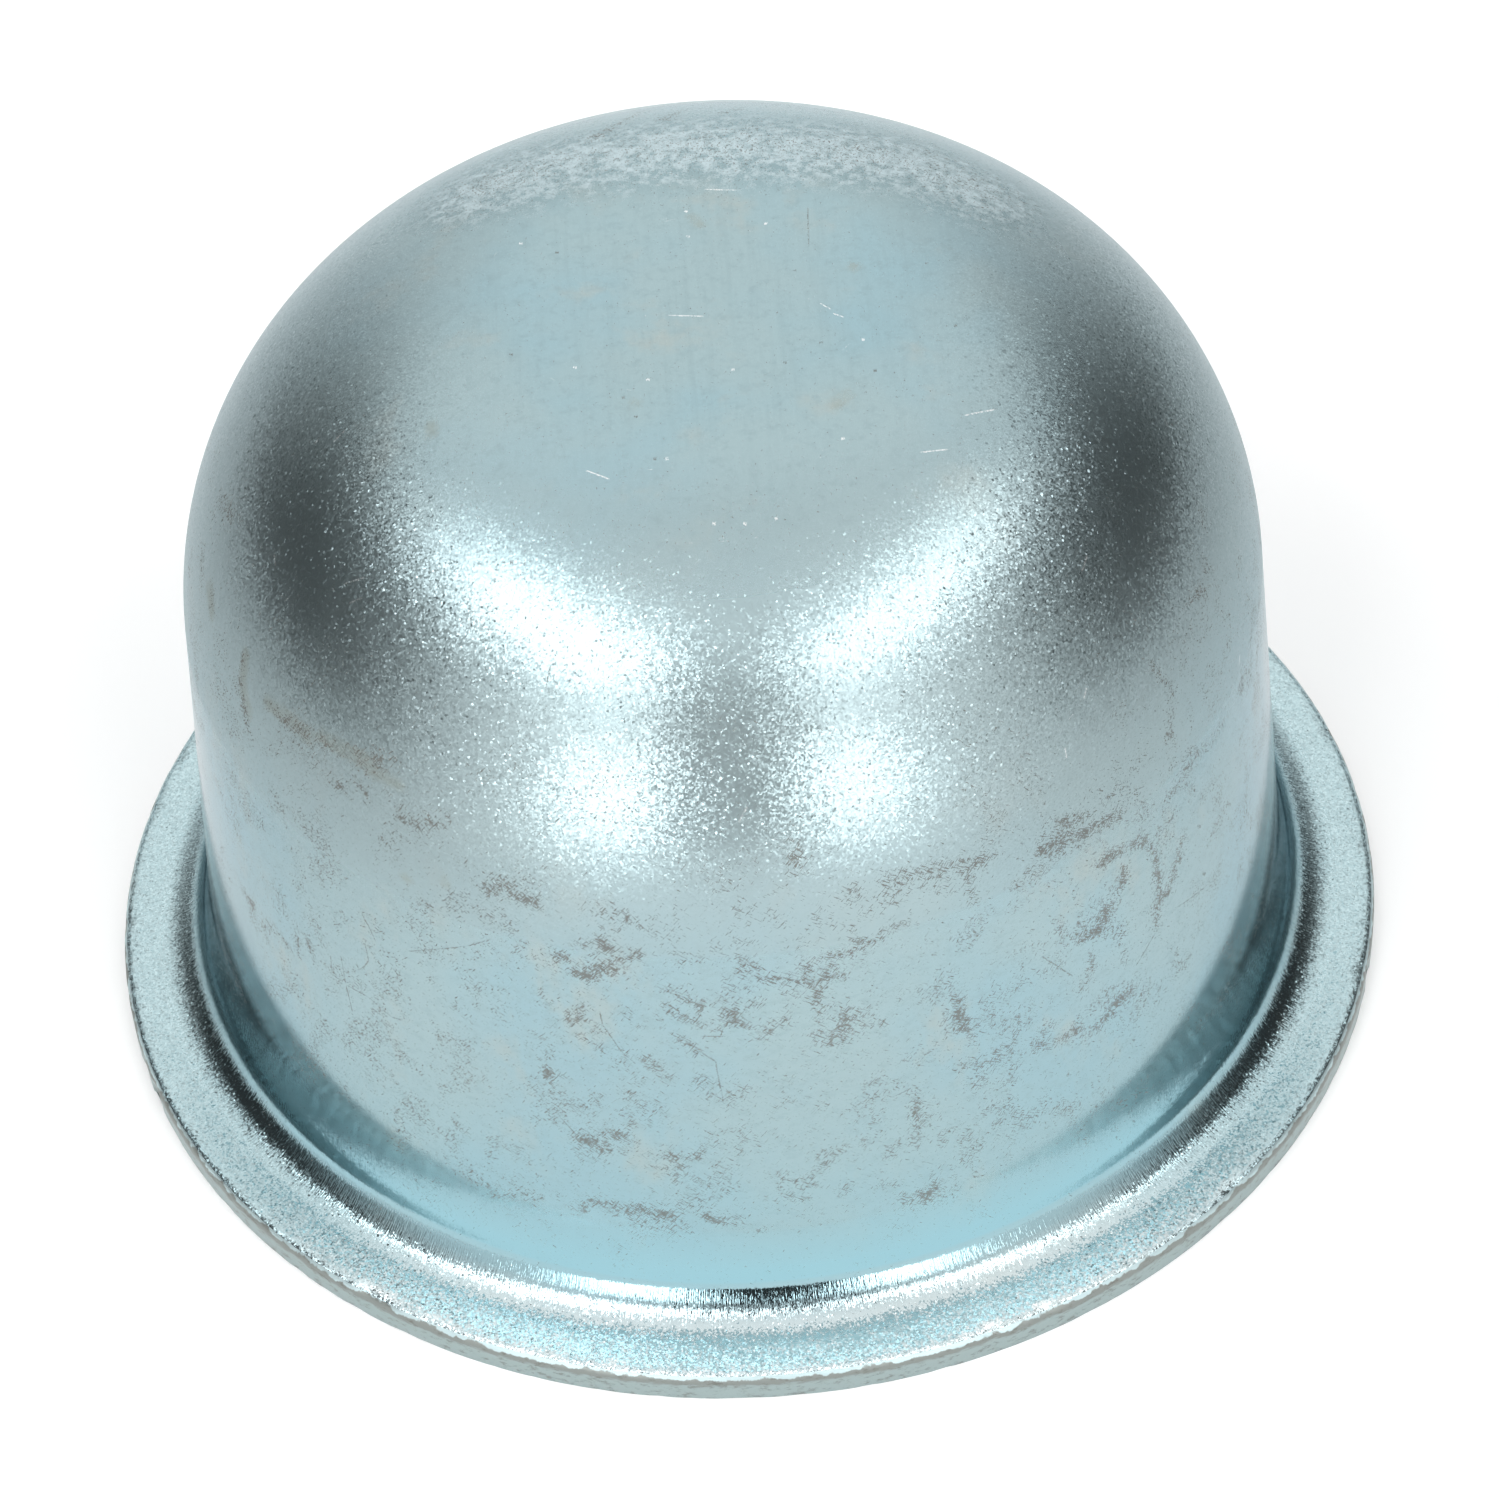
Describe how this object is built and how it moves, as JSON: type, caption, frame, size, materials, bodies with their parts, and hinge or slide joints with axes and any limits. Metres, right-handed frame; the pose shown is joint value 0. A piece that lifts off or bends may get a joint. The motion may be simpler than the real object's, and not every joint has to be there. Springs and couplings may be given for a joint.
{
  "type": "hub grease cap",
  "caption": "Deep drawn steel hub grease cap: a flat-topped round cup with a tapering wall and a flat trimmed flange, driven into a wheel hub to hold the bearing grease in.",
  "frame": {"origin": "centre of the flange's underside, on the cap's axis", "axes": "+Z along the axis of revolution, from the open mouth towards the closed crown"},
  "size_m": [0.05, 0.05, 0.0313],
  "materials": {
    "zinc_plated_steel": "bright zinc plate with a pale blue passivate over drawn steel, satin, scuffed from handling"
  },
  "bodies": {
    "root": {"grease_cap": "zinc_plated_steel"}
  },
  "joints": []
}
